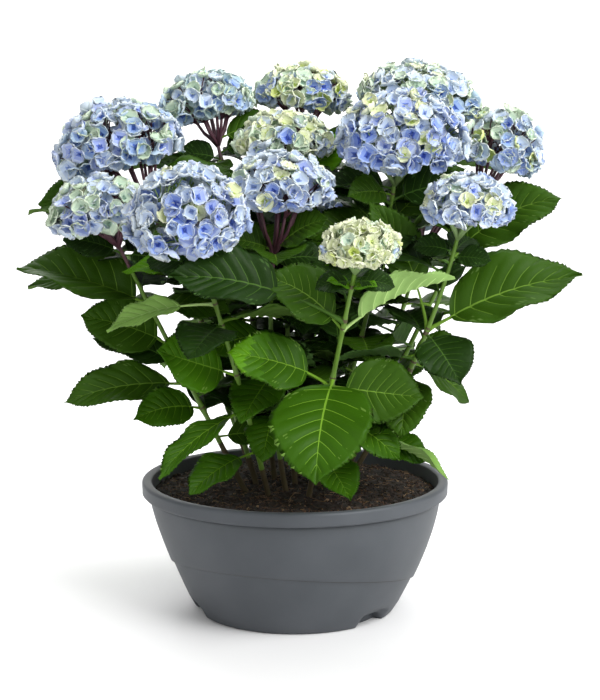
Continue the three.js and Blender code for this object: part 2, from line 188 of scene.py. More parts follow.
# %% A finish
def chart(red, green, blue):
    """Chart numbers as linear light: ((v + 0.055) / 1.055) ** 2.4, or v / 12.92 if dark."""
    v = np.array([red, green, blue]) / 255
    light = np.where(v > 0.04045, ((v + 0.055) / 1.055) ** 2.4, v / 12.92)
    return (*light, 1.0)


def add_noise(material, scale, detail):
    """A noise texture node read in the object's own coordinates."""
    nodes = material.node_tree.nodes
    place = nodes.new("ShaderNodeTexCoord")
    noise = nodes.new("ShaderNodeTexNoise")
    noise.inputs["Scale"].default_value = scale
    noise.inputs["Detail"].default_value = detail
    material.node_tree.links.new(place.outputs["Object"], noise.inputs["Vector"])
    return noise


def finish(name, colour, roughness=0.5, grain=0.0, scale=300.0, **sockets):
    """A Principled finish of one colour. grain is the height in metres of a fine noise
    with scale bumps a metre. sockets sets further inputs by name, with _ for a space."""
    material = bpy.data.materials.new(name)
    material.use_nodes = True
    nodes, links = material.node_tree.nodes, material.node_tree.links
    shader = nodes["Principled BSDF"]
    shader.inputs["Base Color"].default_value = colour
    shader.inputs["Roughness"].default_value = roughness
    for key, value in sockets.items():
        shader.inputs[key.replace("_", " ")].default_value = value
    material.diffuse_color = colour
    if grain:
        noise = add_noise(material, scale, detail=3)
        bump = nodes.new("ShaderNodeBump")
        bump.inputs["Distance"].default_value = grain
        links.new(noise.outputs["Fac"], bump.inputs["Height"])
        links.new(bump.outputs["Normal"], shader.inputs["Normal"])
    return material


def two_tone(material, other, scale, low=0.4, high=0.6, detail=4):
    """Mixes a finish's colour with another by a noise, between its values low and high."""
    nodes, links = material.node_tree.nodes, material.node_tree.links
    shader = nodes["Principled BSDF"]
    noise = add_noise(material, scale, detail)
    ramp = nodes.new("ShaderNodeValToRGB")
    ramp.color_ramp.elements[0].position = low
    ramp.color_ramp.elements[0].color = shader.inputs["Base Color"].default_value
    ramp.color_ramp.elements[1].position = high
    ramp.color_ramp.elements[1].color = other
    links.new(noise.outputs["Fac"], ramp.inputs["Fac"])
    links.new(ramp.outputs["Color"], shader.inputs["Base Color"])
    return material


# %% [markdown]
# ## The bowl pot
# The pot is moulded plastic: a low bowl with a rolled rim, a step that runs round it on
# a slant, and three scallops in its foot where water runs out. It could be a spun
# profile, but the step and the scallops change with the azimuth, so it is a grid
# instead: each ring has a radius and a height that are functions of the azimuth, and the
# rings are joined in order, from under the foot, up the wall, over the rim and down.

# %% The pot's sizes, in metres and degrees
POT_TOP = 0.159
RIM = 0.184
MOUTH = 0.1725
NECK_TOP = 0.141
NECK = 0.175
FOOT = 0.123
BASE = 0.117
FLARE = 1.4
FULLER = 0.0015
WALL = 0.003
TUCK = 0.0025
STEP_MIDDLE, STEP_RISE, STEP_AZIMUTH = 0.0475, 0.0295, 249
SCALLOPS, SCALLOP_HALF, SCALLOP_TOP = (78, 198, 318), 11, 0.012
PEAT_TOP = 0.146
POT_AROUND = 288
SLOT_PITCH = 0.036
SOLE_RADII = (0.0005, 0.05, 0.09, 0.104, 0.1066)
HEEL, HEEL_EDGES = 0.1075, (0.108, 0.113)
FOOT_ROUND, RIM_ROUND, LIP_ROUND = 0.006, 0.0035, 0.002
STEP_HALF = 0.0012
BAND_HEIGHTS = (0.146, 0.150, 0.154)
INSIDE_HEIGHTS = (0.135, 0.12, 0.095, 0.07, 0.05, 0.03, 0.019)
POT_FLOOR, CORNER_HEIGHT = 0.005, 0.017


def bowl(z, azimuth):
    """Outside radius: FOOT + (NECK - FOOT) (1 - (1 - z / NECK_TOP) ** FLARE), a little
    fuller on the right."""
    t = np.clip(z / NECK_TOP, 0, 1)
    side = FULLER * np.cos(azimuth) * np.sin(np.pi * t)
    return FOOT + (NECK - FOOT) * (1 - (1 - t) ** FLARE) + side


def step_height(azimuth):
    """A level line tipped up towards STEP_AZIMUTH."""
    return STEP_MIDDLE + STEP_RISE * np.cos(azimuth - math.radians(STEP_AZIMUTH))


def scallop(azimuth):
    """How far the foot's edge is lifted: a round arch at each scallop, flat elsewhere."""
    off = np.degrees(azimuth)[:, None] - np.array(SCALLOPS)
    near = np.abs((off + 180) % 360 - 180).min(axis=1) / SCALLOP_HALF
    return SCALLOP_TOP * np.sqrt(np.clip(1 - near ** 4, 0, 1))


# %% The pot's rings
def pot_rings():
    """Radius and height of each ring at each azimuth, as two arrays (rings, azimuths)."""
    a = np.linspace(0, 2 * np.pi, POT_AROUND, endpoint=False)
    flat = np.ones_like(a)
    step, arch = step_height(a), scallop(a)
    rings = []

    # The third value flags rings whose faces take the darker finish: painted shade under the
    # step's lip and in the slots under the rim.
    def ring(radius, height, shade_ring=False):
        rings.append((radius * flat, height * flat, shade_ring))

    for radius in SOLE_RADII:
        ring(radius, 0)
    for share in (0.1, 0.5, 0.9):
        ring(HEEL, arch * share)
    for radius in (*HEEL_EDGES, BASE - 0.001):
        ring(radius, arch)
    for turn in np.radians([20, 45, 70]):
        ring(BASE - 0.001 + FOOT_ROUND * np.sin(turn),
             arch + FOOT_ROUND * (1 - np.cos(turn)))
    low = np.maximum(0.0085, arch + 0.0045)
    for share in np.linspace(0, 1, 12)[1:]:
        z = low + (step - STEP_HALF - low) * share
        ring(bowl(z, a) - TUCK, z)
    for share, out in ((-0.6, 0.06), (-0.2, 0.3), (0.2, 0.7), (0.6, 0.94), (1.0, 1.0)):
        z = step + STEP_HALF * share
        ring(bowl(z, a) - TUCK * (1 - out), z, shade_ring=share < 0)
    for share in np.linspace(0, 1, 16)[1:]:
        z = step + STEP_HALF + (NECK_TOP - step - STEP_HALF) * share
        ring(bowl(z, a), z)
    beat = np.cos(a * round(2 * np.pi * NECK / SLOT_PITCH))
    groove = 0.0016 - 0.0012 * np.clip((beat - 0.93) / 0.07, 0, 1)
    ring(NECK - groove * 0.5, NECK_TOP + 0.0006, shade_ring=True)
    ring(NECK - groove, NECK_TOP + 0.0016, shade_ring=True)
    ring(RIM - 0.0045, NECK_TOP + 0.0022)
    ring(RIM - 0.0012, NECK_TOP + 0.0018)
    ring(RIM - 0.0003, NECK_TOP + 0.0028)
    for radius, z in zip(np.linspace(RIM - 0.0003, RIM, 3), BAND_HEIGHTS):
        ring(radius, z)
    for turn in np.radians([0, 22, 45, 68, 90]):
        ring(RIM - RIM_ROUND + RIM_ROUND * np.cos(turn),
             POT_TOP - RIM_ROUND + RIM_ROUND * np.sin(turn))
    ring(RIM - 0.006, POT_TOP - 0.0001)
    ring(MOUTH + 0.003, POT_TOP - 0.0006)
    for turn in np.radians([30, 60, 90]):
        ring(MOUTH + LIP_ROUND - LIP_ROUND * np.sin(turn),
             POT_TOP - 0.0028 + LIP_ROUND * np.cos(turn))
    ring(MOUTH - 0.0004, POT_TOP - 0.007)
    ring(MOUTH - 0.0016, POT_TOP - 0.013)
    for z in INSIDE_HEIGHTS:
        ring(bowl(z, a) - TUCK - WALL, z)
    ring(BASE - 0.016, CORNER_HEIGHT)
    ring(BASE - 0.024, POT_FLOOR)
    ring(SOLE_RADII[0], POT_FLOOR)
    radius, height, shade_ring = (np.array(part) for part in zip(*rings))
    return a, radius, height, shade_ring


def ring_points(a, radius, height):
    """Points of rings round the Z axis: (r cos a, r sin a, z)."""
    return np.stack([radius * np.cos(a), radius * np.sin(a), height], -1)


def ring_body(batch, points, mark=0):
    """A closed body over rings (n, around, 3), with a middle point at each end."""
    rings, around = points.shape[:2]
    ends = points[[0, -1]].mean(axis=1)
    flat = np.concatenate([points.reshape(-1, 3), ends])
    marks = np.repeat(np.broadcast_to(mark, rings)[:-1], around)
    batch.add(grid_faces(rings, around, wrap=True), marks)
    batch.add(lid_faces(around, rings * around), 0)
    batch.place(flat)


# %% [markdown]
# The plastic is matte and blue-grey. Its mould leaves a fine grain, and handling leaves
# faint paler scuffs and dust. Two noises do this: a fine one for the bump, and a broad
# one that shifts the colour a little. The rings in the line of the step and in the slots
# under the rim have a darker finish, which is painted shade under the step's lip and the rim.

# %% Make the pot
pot_plastic = two_tone(
    finish("pot_plastic", chart(68, 72, 77), roughness=0.52, grain=0.00006, scale=900,
           Specular_IOR_Level=0.4),
    chart(76, 80, 85), scale=14, low=0.35, high=0.7, detail=8)
# The darker finish is painted shade for the rings under the step's lip and in the slots under
# the rim.
pot_painted_shade = finish("pot_painted_shade", chart(52, 50, 47), roughness=0.8)
around, pot_radius, pot_height, pot_shade_rings = pot_rings()
pot_batch = Batch()
ring_body(pot_batch, ring_points(around, pot_radius, pot_height), pot_shade_rings.astype(int))
pot = make_piece("bowl_pot", pot_batch, [pot_plastic, pot_painted_shade])
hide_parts("pot")

# %% [markdown]
# ## The peat
# Potting peat is a dark brown crumbly mass with pale wood fibres in it. A flat disc
# with a bump texture looks painted, so the surface is a real height field with loose
# crumbs and fibres lying on it. Each crumb is a small stone of a few faces, turned and
# stretched by chance, and each fibre is a short bent three-sided tube.

# %% The peat's surface
def soft_noise(x, y, seed, waves=24, size=0.03):
    """A smooth field: the mean of sine waves of random direction, length and phase."""
    draw = np.random.default_rng(seed)
    turn = draw.uniform(0, 2 * np.pi, waves)
    length = size * draw.uniform(0.3, 1.4, waves)
    phase = draw.uniform(0, 2 * np.pi, waves)
    path = np.multiply.outer(x, np.cos(turn)) + np.multiply.outer(y, np.sin(turn))
    return np.sin(2 * np.pi * path / length + phase).mean(axis=-1)


def peat_height(x, y):
    """Height of the peat: level, sunk towards the wall, with lumps of two sizes."""
    r = np.hypot(x, y)
    lumps = 0.006 * soft_noise(x, y, 3, size=0.045) + 0.004 * soft_noise(x, y, 4, size=0.012)
    return PEAT_TOP + 0.0005 + lumps - 0.004 * np.clip((r - 0.14) / 0.03, 0, 1) ** 2


PEAT_AROUND, PEAT_ROWS = 216, 52
PEAT_MIDDLE, PEAT_EDGE = 0.002, 0.1702
peat_batch = Batch()
peat_around = np.linspace(0, 2 * np.pi, PEAT_AROUND, endpoint=False)
peat_radii = np.concatenate([[PEAT_MIDDLE], np.linspace(0.01, PEAT_EDGE, PEAT_ROWS)])
peat_r = peat_radii[::-1, None] * np.ones_like(peat_around)
peat_x, peat_y = peat_r * np.cos(peat_around), peat_r * np.sin(peat_around)
peat_surface = np.stack([peat_x, peat_y, peat_height(peat_x, peat_y)], -1)
under = ring_points(peat_around, np.array([[PEAT_MIDDLE], [0.160], [0.1688]]),
                    np.array([[0.12], [0.12], [0.1395]]) * np.ones_like(peat_around))
ring_body(peat_batch, np.concatenate([under, peat_surface]), 0)

# %% Crumbs and fibres
CRUMBS, FIBRES = 5200, 420
CRUMB_SIZE = 0.0007
CRUMB_REACH, FIBRE_REACH, WALL_REACH = 0.167, 0.163, 0.168
draw = np.random.default_rng(11)
stone = np.array([[1, 0, 0], [0, 1, 0], [-1, 0, 0], [0, -1, 0], [0, 0, 1], [0, 0, -1]])
stone_faces = np.array([[0, 1, 4], [1, 2, 4], [2, 3, 4], [3, 0, 4],
                        [1, 0, 5], [2, 1, 5], [3, 2, 5], [0, 3, 5]])
r = CRUMB_REACH * np.sqrt(draw.uniform(0, 1, CRUMBS))
a = draw.uniform(0, 2 * np.pi, CRUMBS)
middle = np.stack([r * np.cos(a), r * np.sin(a)], -1)
middle = np.column_stack([middle, peat_height(*middle.T) + 0.0004])
size = CRUMB_SIZE * draw.lognormal(0.25, 0.45, CRUMBS)
shape = stone * draw.uniform(0.5, 1.5, (CRUMBS, 6, 1)) * size[:, None, None]
spin = draw.normal(size=(CRUMBS, 3, 3))
spin = np.linalg.qr(spin)[0]
spin *= np.sign(np.linalg.det(spin))[:, None, None]
crumb_points = (np.einsum("nij,npj->npi", spin, shape) + middle[:, None]).reshape(-1, 3)
crumb_faces = (stone_faces + 6 * np.arange(CRUMBS)[:, None, None]).reshape(-1, 3)
crumb_marks = draw.choice([0, 1, 2, 3], CRUMBS, p=[0.45, 0.3, 0.2, 0.05]).repeat(8)
peat_batch.add(crumb_faces, crumb_marks)
peat_batch.place(crumb_points)
for _ in range(FIBRES):
    r, a = FIBRE_REACH * math.sqrt(draw.uniform()), draw.uniform(0, 2 * np.pi)
    length, turn = draw.uniform(0.004, 0.016), draw.uniform(0, 2 * np.pi)
    t = np.linspace(-0.5, 0.5, 5)
    bend = draw.uniform(-0.3, 0.3) * length * (1 - 4 * t ** 2)
    x = r * math.cos(a) + t * length * math.cos(turn) - bend * math.sin(turn)
    y = r * math.sin(a) + t * length * math.sin(turn) + bend * math.cos(turn)
    inside = np.minimum(1, WALL_REACH / np.hypot(x, y))
    path = np.stack([x * inside, y * inside, peat_height(x, y) + 0.0008], -1)
    path[:, 2] += draw.uniform(-0.0004, 0.0012) + draw.uniform(-0.1, 0.1) * t * length
    add_tube(peat_batch, path, draw.uniform(0.0002, 0.00045), draw.choice([2, 3, 4]), sides=3)
peat_finishes = [
    two_tone(finish("peat_dark", chart(24, 19, 13), roughness=0.95, grain=0.0006, scale=700),
             chart(47, 34, 26), scale=120, low=0.42, high=0.62),
    finish("peat_crumb_brown", chart(48, 36, 24), roughness=0.95),
    finish("peat_crumb_light", chart(84, 62, 45), roughness=0.95),
    finish("peat_crumb_pale", chart(128, 104, 78), roughness=0.9),
    finish("peat_fibre", chart(104, 79, 52), roughness=0.9),
]
peat = make_piece("peat_surface", peat_batch, peat_finishes, smooth=False)
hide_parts("peat")

# %% [markdown]
# ## The plan of the shoots
# Fifteen shoots rise from the peat and spread like a fan, each ending in a flower head.
# Where each stem runs, and how big its head is, is read from the frame's own solids.
# The plan adds how the head leans (degrees, then the azimuth it leans towards), how far
# under it the stalks part (drop), its colours, and the leaves that stand out, in steps
# of 5 mm and 5 degrees. A leaf has the height of its node, its azimuth, the rise of its
# midrib, its reach from node to tip, its width, and the roll of its blade.

# %% What a leaf is
def leaf(height, azimuth, rise, reach, width, roll=0, fold=16, arch=0.07, tone="dark",
         stalk=0.16, young=2.0):
    """One leaf of the plan. fold lifts the two halves by so many degrees. arch is the
    midrib's rise over the straight line from node to tip, and stalk the bare part of it,
    both as shares of it. Past young, a share of the blade, the leaf is a fresher green."""
    return dict(height=height, azimuth=azimuth, rise=rise, reach=reach, width=width,
                roll=roll, fold=fold, arch=arch, tone=tone, stalk=stalk, young=young)


# %% The shoots
# A leaf of the darkest tone is painted shade: the leaf lies in the crown's shade.
SHOOTS = {
    "left_high": dict(
        lean=(15, 190), drop=0.03, florets="grey_blue", rays="purple",
        leaves=[
            leaf(0.475, 185, 5, 0.135, 0.085, -60),
            leaf(0.45, 190, 10, 0.16, 0.055, -10),
            leaf(0.495, 5, 15, 0.11, 0.07, 35),
            leaf(0.455, 95, 5, 0.12, 0.08),
            leaf(0.4, 180, -5, 0.185, 0.05, -30),
            leaf(0.345, 100, -5, 0.125, 0.08),
            leaf(0.455, 270, -15, 0.095, 0.065),
        ],
    ),
    "left_low": dict(
        lean=(10, 215), drop=0.01, florets="greenish", rays="purple",
        leaves=[
            leaf(0.375, 175, 15, 0.16, 0.1, -35, fold=30, arch=0.05, stalk=0.1),
            leaf(0.325, 190, 20, 0.11, 0.075, -60),
            leaf(0.3, 195, 20, 0.11, 0.05, -50, tone="deep_shade"),
            leaf(0.28, 200, -5, 0.15, 0.06, -45, fold=25, arch=0.05),
            leaf(0.25, 225, 0, 0.105, 0.05, -60, tone="mid"),
            leaf(0.375, 345, -5, 0.1, 0.07, 25),
        ],
    ),
    "left_front": dict(
        lean=(25, 260), drop=0.01, florets="lavender", rays="green",
        leaves=[
            leaf(0.42, 170, 0, 0.095, 0.035, -30, tone="fresh", stalk=0.25),
            leaf(0.415, 345, -10, 0.09, 0.06, 40),
            leaf(0.385, 170, -15, 0.13, 0.035, -50, fold=30, tone="pale", stalk=0.3),
            leaf(0.36, 250, -15, 0.095, 0.07, -10, tone="deep_shade"),
            leaf(0.3, 210, 20, 0.105, 0.08, -60, fold=10, arch=0, tone="young", stalk=0.2),
            leaf(0.26, 215, -30, 0.135, 0.035, -20, fold=15, arch=0.05, tone="mid"),
            leaf(0.205, 220, -20, 0.105, 0.05, -20, tone="mid", stalk=0.25),
        ],
    ),
    "front_small": dict(
        lean=(10, 265), drop=0.005, florets="cream", rays="green",
        leaves=[
            leaf(0.36, 190, 35, 0.105, 0.07, -60),
            leaf(0.36, 355, 25, 0.135, 0.06, -30, fold=40, tone="pale"),
            leaf(0.37, 190, 15, 0.2, 0.08, -50, fold=25, tone="deep_shade", stalk=0.4),
            leaf(0.29, 205, 20, 0.135, 0.07, -60, fold=10, tone="mid", stalk=0.25, young=0.75),
            leaf(0.29, 350, -5, 0.105, 0.08, 60, arch=0),
            leaf(0.3, 260, -40, 0.15, 0.115, 0, fold=10, tone="mid", stalk=0.1),
            leaf(0.255, 330, -25, 0.105, 0.065, 30, tone="mid"),
            leaf(0.205, 300, -30, 0.085, 0.055, 10, tone="mid"),
            leaf(0.41, 200, 15, 0.03, 0.025, -30, tone="fresh", stalk=0.05),
            leaf(0.41, 335, 5, 0.03, 0.025, 30, tone="fresh", stalk=0.05),
        ],
    ),
    "middle_front": dict(
        lean=(10, 270), drop=0.05, florets="pale_lavender", rays="purple",
        leaves=[
            leaf(0.4, 170, 0, 0.13, 0.08, -40, fold=30, tone="deep_shade"),
            leaf(0.44, 195, 15, 0.06, 0.05, -60),
            leaf(0.44, 340, 30, 0.075, 0.06, 45),
            leaf(0.435, 275, -5, 0.06, 0.075, 0, fold=25),
            leaf(0.34, 210, -10, 0.08, 0.06, -40, tone="mid"),
            leaf(0.335, 285, -20, 0.09, 0.065, 0, tone="deep_shade"),
            leaf(0.29, 250, -20, 0.105, 0.065, -10, tone="mid"),
            leaf(0.25, 260, -30, 0.09, 0.055, 0, tone="mid"),
        ],
    ),
    "right_front": dict(
        lean=(10, 285), drop=0.01, florets="pale_lavender", rays="green",
        leaves=[
            leaf(0.35, 355, 20, 0.185, 0.1, 45, fold=25, arch=0.05),
            leaf(0.35, 175, 65, 0.16, 0.055, -75, stalk=0.3),
            leaf(0.345, 300, -35, 0.085, 0.07, 20, tone="deep_shade"),
            leaf(0.31, 30, -35, 0.095, 0.06, 50),
            leaf(0.3, 260, -40, 0.1, 0.065),
            leaf(0.26, 255, -15, 0.085, 0.06),
            leaf(0.215, 325, -20, 0.11, 0.03, -20, fold=45, tone="pale", stalk=0.1),
            leaf(0.205, 340, -10, 0.075, 0.05, 30, tone="mid"),
        ],
    ),
    "right_high": dict(
        lean=(15, 270), drop=0.01, florets="blue", rays="green",
        leaves=[
            leaf(0.46, 15, 35, 0.12, 0.06, 45),
            leaf(0.46, 195, -5, 0.095, 0.06, -45),
            leaf(0.5, 215, 0, 0.065, 0.045, -50),
            leaf(0.395, 340, 50, 0.12, 0.055, 10),
            leaf(0.44, 200, -15, 0.1, 0.05, -50, tone="fresh"),
            leaf(0.33, 275, -10, 0.09, 0.07),
        ],
    ),
    "right_outer": dict(
        lean=(15, 350), drop=0.02, florets="blue_green", rays="purple",
        leaves=[
            leaf(0.42, 345, 30, 0.15, 0.08, 60, arch=0.1),
            leaf(0.5, 180, 5, 0.08, 0.05, -20),
            leaf(0.345, 60, -5, 0.12, 0.085),
            leaf(0.3, 350, 5, 0.085, 0.055, 45),
            leaf(0.26, 90, -10, 0.1, 0.075),
        ],
    ),
    "middle_high": dict(
        lean=(5, 270), drop=0.015, florets="pale_green", rays="purple",
        leaves=[
            leaf(0.49, 0, 40, 0.115, 0.06, 50, tone="fresh"),
            leaf(0.49, 180, 20, 0.08, 0.05, -40, tone="fresh"),
            leaf(0.44, 330, 40, 0.12, 0.06, 40),
        ],
    ),
    "back_left": dict(
        lean=(10, 170), drop=0.02, florets="grey_green", rays="purple",
        leaves=[
            leaf(0.56, 5, 10, 0.085, 0.05, 45),
            leaf(0.535, 250, -25, 0.085, 0.065),
            leaf(0.52, 160, 0, 0.13, 0.085),
            leaf(0.41, 115, -5, 0.14, 0.09),
            leaf(0.34, 130, -15, 0.14, 0.09),
        ],
    ),
    "back_middle": dict(
        lean=(5, 20), drop=0.03, florets="yellow_green", rays="purple",
        leaves=[
            leaf(0.555, 335, -5, 0.085, 0.055, 30),
            leaf(0.48, 95, 0, 0.13, 0.085),
            leaf(0.43, 60, -5, 0.14, 0.09),
            leaf(0.38, 120, -10, 0.135, 0.09),
        ],
    ),
    "back_right": dict(
        lean=(10, 20), drop=0.01, florets="pale_blue", rays="green",
        leaves=[
            leaf(0.52, 20, 0, 0.13, 0.085),
            leaf(0.54, 205, 5, 0.1, 0.06, -30),
            leaf(0.41, 45, -5, 0.14, 0.09),
            leaf(0.34, 20, -10, 0.11, 0.08),
        ],
    ),
    "rear_left": dict(
        lean=(20, 125), drop=0.015, florets="lavender", rays="purple",
        leaves=[
            leaf(0.39, 150, 0, 0.14, 0.09),
            leaf(0.35, 190, -10, 0.13, 0.085),
            leaf(0.29, 120, -15, 0.14, 0.09),
        ],
    ),
    "rear_middle": dict(
        lean=(20, 90), drop=0.015, florets="blue", rays="green",
        leaves=[
            leaf(0.37, 35, -5, 0.13, 0.085),
            leaf(0.37, 130, -5, 0.135, 0.09),
            leaf(0.33, 85, -20, 0.14, 0.09),
            leaf(0.265, 120, -20, 0.12, 0.08),
        ],
    ),
    "rear_right": dict(
        lean=(20, 55), drop=0.015, florets="grey_blue", rays="purple",
        leaves=[
            leaf(0.395, 30, 0, 0.135, 0.09),
            leaf(0.35, 5, -10, 0.11, 0.08),
            leaf(0.29, 90, -15, 0.14, 0.09),
        ],
    ),
}


# %% [markdown]
# A box round a leaning dome is a little bigger than the dome, so a head takes a share
# of its box. The frame's stems are smooth curves, and a quadratic each for x and y
# follows them.

# %% Heads and stems, from the frame
HEAD_SHARE = 0.97


def read_frame(name, shoot):
    """The head's middle and size, from the box round the frame's head, and the stem's
    course: x and y as the quadratics in height that fit the frame's stem best."""
    low, high = (np.array(corner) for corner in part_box("bloom_" + name))
    shoot["head"] = (low + high) / 2
    shoot["size"] = HEAD_SHARE * (high - low)
    corners = np.array([v.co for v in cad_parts["stem_" + name].data.vertices])
    shoot["course"] = [np.polyfit(corners[:, 2], corners[:, i], 2) for i in (0, 1)]


for name, shoot in SHOOTS.items():
    read_frame(name, shoot)
print(len(SHOOTS), "shoots,", sum(len(s["leaves"]) for s in SHOOTS.values()), "planned leaves")

# %% [markdown]
# ## The stems
# A hydrangea shoot is a round green stem, thicker at each node where a pair of leaves
# sits, and brown and furrowed at its foot. A curve with a bevel would give an even
# tube, so the tube is worked out instead: its middle follows the course of the frame's
# stem, and its radius is a function of the way along and of the angle round it, which
# makes the taper, the swollen nodes and the furrows of the bark.

# %% The line of a stem
def stem_line(shoot, steps=240):
    """The stem's middle from just inside the peat to the middle of the head: the
    heights go up evenly, and x and y are the course's quadratics in the height."""
    z = np.linspace(PEAT_TOP - 0.008, shoot["head"][2], steps)
    return np.stack([*(np.polyval(curve, z) for curve in shoot["course"]), z], -1)


def at_height(line, z):
    """The point of a stem's line at height z."""
    return np.array([np.interp(z, line[:, 2], line[:, i]) for i in range(3)])


def crown_axis(shoot):
    """The direction that a flower head faces: up, leaning as the plan says."""
    tilt, towards = shoot["lean"]
    return turned(np.array([0.0, 0.0, 1.0]), heading(towards + 90), math.radians(tilt))


def hub(shoot):
    """Where the head's stalks leave the stem: under the middle of the head."""
    below = shoot["size"][2] / 2 + shoot["drop"]
    return at_height(stem_line(shoot), shoot["head"][2] - below)


# %% Make the stems
STEM_FOOT, STEM_TIP, STEM_STEP = 0.0034, 0.0022, 0.0025
WOODY_TOP = 0.178
WOODY, GREEN, PURPLE, NODE = 0, 1, 2, 3


def add_stem(batch, shoot, seed):
    """A tube of radius r(s, a) = taper * (1 + nodes) * (1 + furrows of the bark)."""
    draw = np.random.default_rng(seed)
    line = stem_line(shoot)
    line = line[line[:, 2] <= hub(shoot)[2] + 0.001]
    way = np.concatenate([[0], np.cumsum(np.linalg.norm(np.diff(line, axis=0), axis=1))])
    s = np.arange(0, way[-1], STEM_STEP)
    path = np.stack([np.interp(s, way, line[:, i]) for i in range(3)], -1)
    z = path[:, 2]
    nodes = np.array(sorted({item["height"] for item in shoot["leaves"]}))
    off = z[:, None] - nodes
    swell = (0.32 * np.exp(-(off / 0.005) ** 2)).max(axis=1)
    taper = STEM_FOOT + (STEM_TIP - STEM_FOOT) * s / way[-1]
    angle = np.linspace(0, 2 * np.pi, 12, endpoint=False)
    bark = np.clip((0.25 - z) / 0.09, 0, 1)[:, None]
    wander = draw.uniform(0, 6) + 3 * np.sin(s / 0.012)[:, None]
    furrow = np.sin(5 * angle + wander) * 0.5 + np.sin(3 * angle - 40 * s[:, None])
    radius = (taper * (1 + swell))[:, None] * (1 + 0.07 * bark * furrow)
    mark = np.where(z < WOODY_TOP + draw.uniform(-0.01, 0.03), WOODY, GREEN)
    if shoot["rays"] == "purple":
        mark[z > z[-1] - 0.03] = PURPLE
    mark[(np.abs(off) < 0.0014).any(axis=1)] = NODE
    add_tube(batch, path, radius, mark, sides=12)


stem_batch = Batch()
for seed, shoot in enumerate(SHOOTS.values()):
    add_stem(stem_batch, shoot, seed)
stem_finishes = [
    finish("stem_woody", chart(78, 68, 42), roughness=0.85, grain=0.0005, scale=420),
    finish("stem_green", chart(96, 132, 40), roughness=0.5, grain=0.00015, scale=600),
    finish("stem_purple", chart(84, 52, 60), roughness=0.5, grain=0.0001, scale=600),
    finish("stem_node", chart(82, 74, 48), roughness=0.7, grain=0.0003, scale=600),
]
stems = make_piece("stems", stem_batch, stem_finishes)
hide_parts(*["stem_" + name for name in SHOOTS])

# %% [markdown]
# ## The leaves
# A hydrangea leaf is broad and oval with a drawn-out tip and a toothed edge. Its side
# veins leave the midrib in pairs, curve forward and end in the edge, and the blade
# puffs up a little between them. A flat card with a picture would show none of this.
# Here the grid's rows run along the side veins and its columns run beside the midrib,
# so that the veins are narrow strips of faces with a paler finish, the puffs are a
# height between the strips, and the teeth are the ends of the rows. The upper and the
# lower sheet share their edge, so each leaf is one thin closed body.

# %% The grid of a leaf
VEINS = 8
VEIN_AT = 0.035 + 0.79 * np.linspace(0, 1, VEINS) ** 0.95
VEIN_HALF = 0.0036
SWEEP = 0.8
TOOTH = 0.0017


def blade_shape(x):
    """Half the blade's width along it: x ** 0.62 (1 - x) ** 0.85 / 0.3675, pinched
    near x = 1 into a drawn-out tip."""
    full = x ** 0.62 * (1 - x) ** 0.85 / 0.3675
    return full * (1 - 0.5 * np.exp(-((1 - x) / 0.07) ** 2))


class LeafGrid:
    """What all leaves of one fineness share: where rows and columns run on the blade."""

    def __init__(self, between, columns):
        rows = [(0, 0, 0), (0.002, 0, 0), (0.006, 0, 0.1), (0.018, 0, 0.3)]
        for at, after in zip(VEIN_AT, [*VEIN_AT[1:], 0.93]):
            rows += [(at, -1, 0), (at, 1, 0)]
            rows += [(at + (after - at) * b, 0, math.sin(math.pi * b)) for b in between]
        rows += [(0.93, 0, 0.2), (0.955, 0, 0), (0.978, 0, 0), (1, 0, 0)]
        at, edge, self.puff = (np.array(part, dtype=float) for part in zip(*rows))
        self.t = np.array(columns)
        t = np.abs(self.t)
        u = at[:, None] + edge[:, None] * VEIN_HALF * (1 - 0.75 * t)
        u = np.clip(u, 0, 1)
        self.margin = np.clip(u + SWEEP * u ** 0.6 * (1 - u), 0, 1)
        self.x = u + (self.margin - u) * t ** 1.25
        self.vein = edge != 0
        self.out = (np.arange(len(at)) % 2).astype(float)
        self.out[[0, -1]] = 0
        rows, columns = u.shape
        number = np.arange(rows * columns).reshape(rows, columns)
        inner = np.zeros((rows, columns), dtype=bool)
        inner[1:-1, 1:-1] = True
        lower = number.copy()
        lower[inner] = rows * columns + np.arange(inner.sum())
        quads = grid_faces(rows, columns)
        self.inner = inner
        self.top = quads[:, ::-1]
        self.bottom = lower.ravel()[quads]
        strip = (edge[:-1] < 0)[:, None] & (self.t[:-1] > -0.9) & (self.t[1:] < 0.9)
        middle = (self.t[:-1] < 0) & (self.t[1:] > 0)
        self.pale = (strip | middle).ravel()
        self.far = self.x[:-1, :-1].ravel()


FINE = LeafGrid((0.25, 0.5, 0.75), (-1, -0.9, -0.68, -0.42, -0.18, -0.02,
                                    0.02, 0.18, 0.42, 0.68, 0.9, 1))
PLAIN = LeafGrid((0.5,), (-1, -0.88, -0.5, -0.025, 0.025, 0.5, 0.88, 1))


# %% A leaf in its place
TONES = {"dark": 0, "deep_shade": 1, "mid": 2, "fresh": 3, "pale": 4, "young": 5}


USUAL_REACH = 0.14
PUFF, RIPPLE = 0.0019, 0.0036
SHEET, RIB = 0.00035, 0.0016


